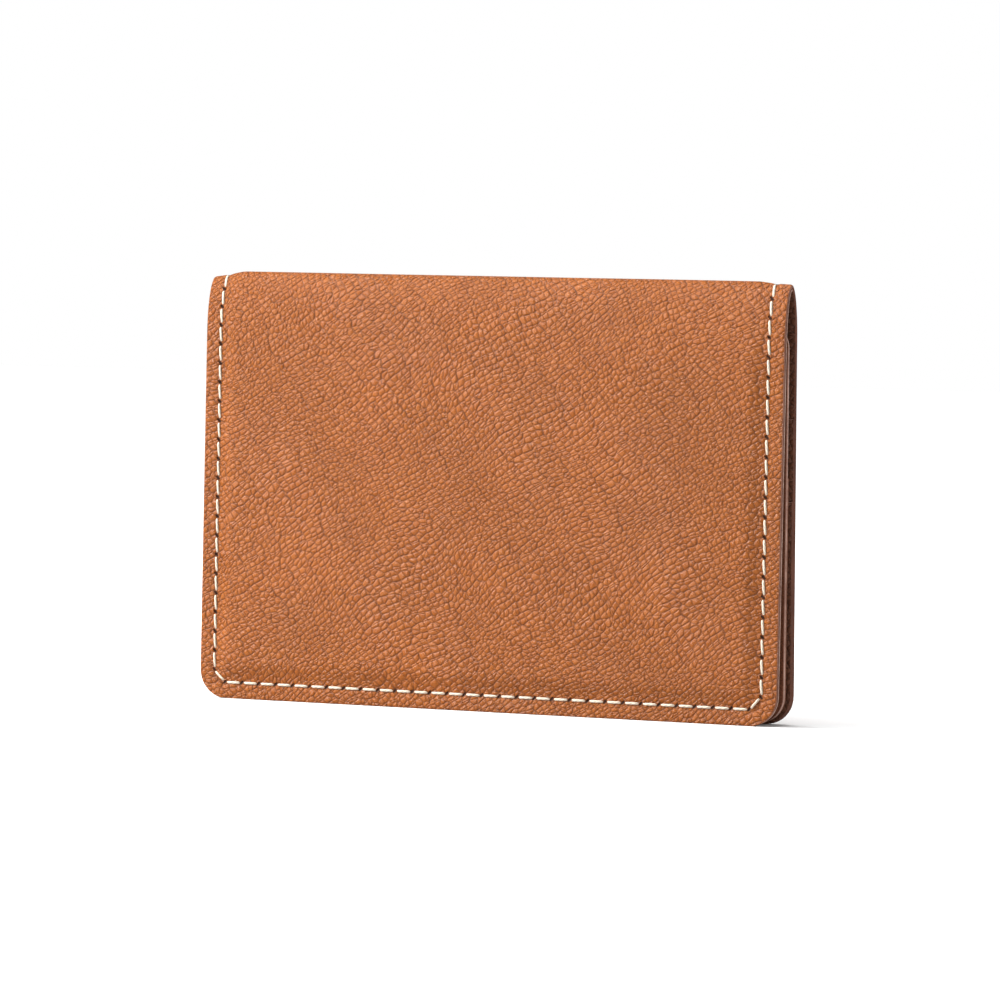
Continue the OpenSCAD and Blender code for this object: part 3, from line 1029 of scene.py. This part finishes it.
stands_for(leather_front, "tan_leather", "front_cover", "fold_leather")
stands_for(leather_back, "tan_leather", "flap_cover")
stands_for(lining_front, "lining_leather", "front_lining", "fold_lining")
stands_for(lining_back, "lining_leather", "flap_lining")
stands_for(gusset_strip, "gusset_leather", "gusset_cover_leaf", "gusset_fold", "gusset_pocket_leaf")
stands_for(pocket_front, "tan_leather", "pocket_panel")
stands_for(pocket_inside, "lining_leather", "pocket_lining")
stands_for(slip_front, "tan_leather", "slip_pocket")
stands_for(card_pocket_rear, "lining_leather", "flap_rear_pocket")
stands_for(card_pocket_front, "lining_leather", "flap_front_pocket")
stands_for(stitches_front, "thread", "front_seam_thread", "fold_seam_thread")
stands_for(stitches_back, "thread", "flap_seam_thread")
stands_for(stitches_fold_inside, "thread")
stands_for(stitches_flap_inside, "thread")
stands_for(stitches_pocket, "thread", "pocket_seam_thread")

# %% [markdown]
# ## Floor, light and camera
#
# The case stands on a white floor, as goods do in a catalogue. A small strong light on the
# left, about thirty degrees up, rakes over the grain and gives it its highlights. A weak one
# low and near on the left adds a sheen to the rim, one on the right opens up the edges of
# the plies, and a wide sun above brightens the fold and whitens the floor. A white floor
# would throw so much light up at the leather that its grain went flat, so the floor looks
# white to the camera and throws back only half the light. The camera is far away with a long
# lens, so the case's sides stay almost parallel.

# %% Floor
FLOOR_HALF = 4.0


def seen_or_not(tree, hidden, seen, output):
    """Shows one shader to the camera, and the hidden one to every other ray."""
    by_camera = add(tree, "ShaderNodeLightPath").outputs["Is Camera Ray"]
    mix = add(tree, "ShaderNodeMixShader", {0: by_camera, 1: hidden.outputs[0], 2: seen.outputs[0]})
    tree.links.new(mix.outputs[0], tree.nodes[output].inputs["Surface"])


bm = bmesh.new()
bmesh.ops.create_grid(bm, x_segments=1, y_segments=1, size=FLOOR_HALF)
mesh = bpy.data.meshes.new("floor")
bm.to_mesh(mesh)
bm.free()
floor = bpy.data.objects.new("floor", mesh)
bpy.context.scene.collection.objects.link(floor)
white, tree, shader = finish("white_floor")
shader.inputs["Base Color"].default_value = (0.93, 0.93, 0.93, 1)
shader.inputs["Roughness"].default_value = 0.9
shader.inputs["Specular IOR Level"].default_value = 0.1
dim = add(tree, "ShaderNodeBsdfDiffuse", {"Color": (0.50, 0.49, 0.48, 1)})
seen_or_not(tree, dim, shader, "Material Output")
mesh.materials.append(white)
print(f"the floor is {2 * FLOOR_HALF} m wide")

# %% Lights
def softbox(name, place, size, power):
    """A round white light, size metres across and power watts, aimed at the case's middle."""
    light = bpy.data.lights.new(name, "AREA")
    light.shape, light.size, light.energy = "DISK", size, power
    lamp = bpy.data.objects.new(name, light)
    lamp.location = place
    aim = Vector((0, 0, case_top / 2 * MM)) - Vector(place)
    lamp.rotation_euler = aim.to_track_quat("-Z", "Y").to_euler()
    bpy.context.scene.collection.objects.link(lamp)


softbox("key_left", (-0.87, -0.51, 0.64), 0.20, 24.0)
softbox("sheen_left", (-0.38, -0.36, 0.02), 0.16, 1.3)
softbox("fill_right", (0.9, -0.35, 0.30), 0.5, 2.2)

sky = bpy.data.lights.new("top", "SUN")
sky.energy, sky.angle = 2.9, math.radians(50)
overhead = bpy.data.objects.new("top", sky)
overhead.rotation_euler = (math.radians(2), math.radians(-10), 0)
bpy.context.scene.collection.objects.link(overhead)
print(len(bpy.data.lights), "lights")

# %% White surroundings
world = bpy.data.worlds.new("white_studio")
world.use_nodes = True
tree = world.node_tree
soft = tree.nodes["Background"]
soft.inputs["Color"].default_value = (1, 1, 1, 1)
soft.inputs["Strength"].default_value = 0.30
backdrop = add(tree, "ShaderNodeBackground", {"Color": (1, 1, 1, 1), "Strength": 1.0})
seen_or_not(tree, soft, backdrop, "World Output")
bpy.context.scene.world = world
bpy.context.scene.view_settings.view_transform = "Standard"
bpy.context.scene.view_settings.look = "None"

# %% Camera
AZIMUTH, ELEVATION, ROLL = math.radians(25.04), math.radians(1.915), math.radians(1.22)
DISTANCE = 1.016
AIM = Vector((0.00087, 0.0, 0.03656))
back = Vector((math.sin(AZIMUTH) * math.cos(ELEVATION), -math.cos(AZIMUTH) * math.cos(ELEVATION),
               math.sin(ELEVATION)))
right = Vector((math.cos(AZIMUTH), math.sin(AZIMUTH), 0))
up = back.cross(right)
tilted_right = right * math.cos(ROLL) + up * math.sin(ROLL)
tilted_up = up * math.cos(ROLL) - right * math.sin(ROLL)
lens = bpy.data.cameras.new("camera")
lens.lens, lens.sensor_width = 211.45, 36.0
lens.clip_start, lens.clip_end = 0.05, 20.0
camera = bpy.data.objects.new("camera", lens)
camera.matrix_world = Matrix.Translation(AIM + back * DISTANCE) @ Matrix(
    (tilted_right, tilted_up, back)).transposed().to_4x4()
bpy.context.scene.collection.objects.link(camera)
bpy.context.scene.camera = camera
print(f"the camera is {DISTANCE} m away with a {lens.lens:.0f} mm lens")
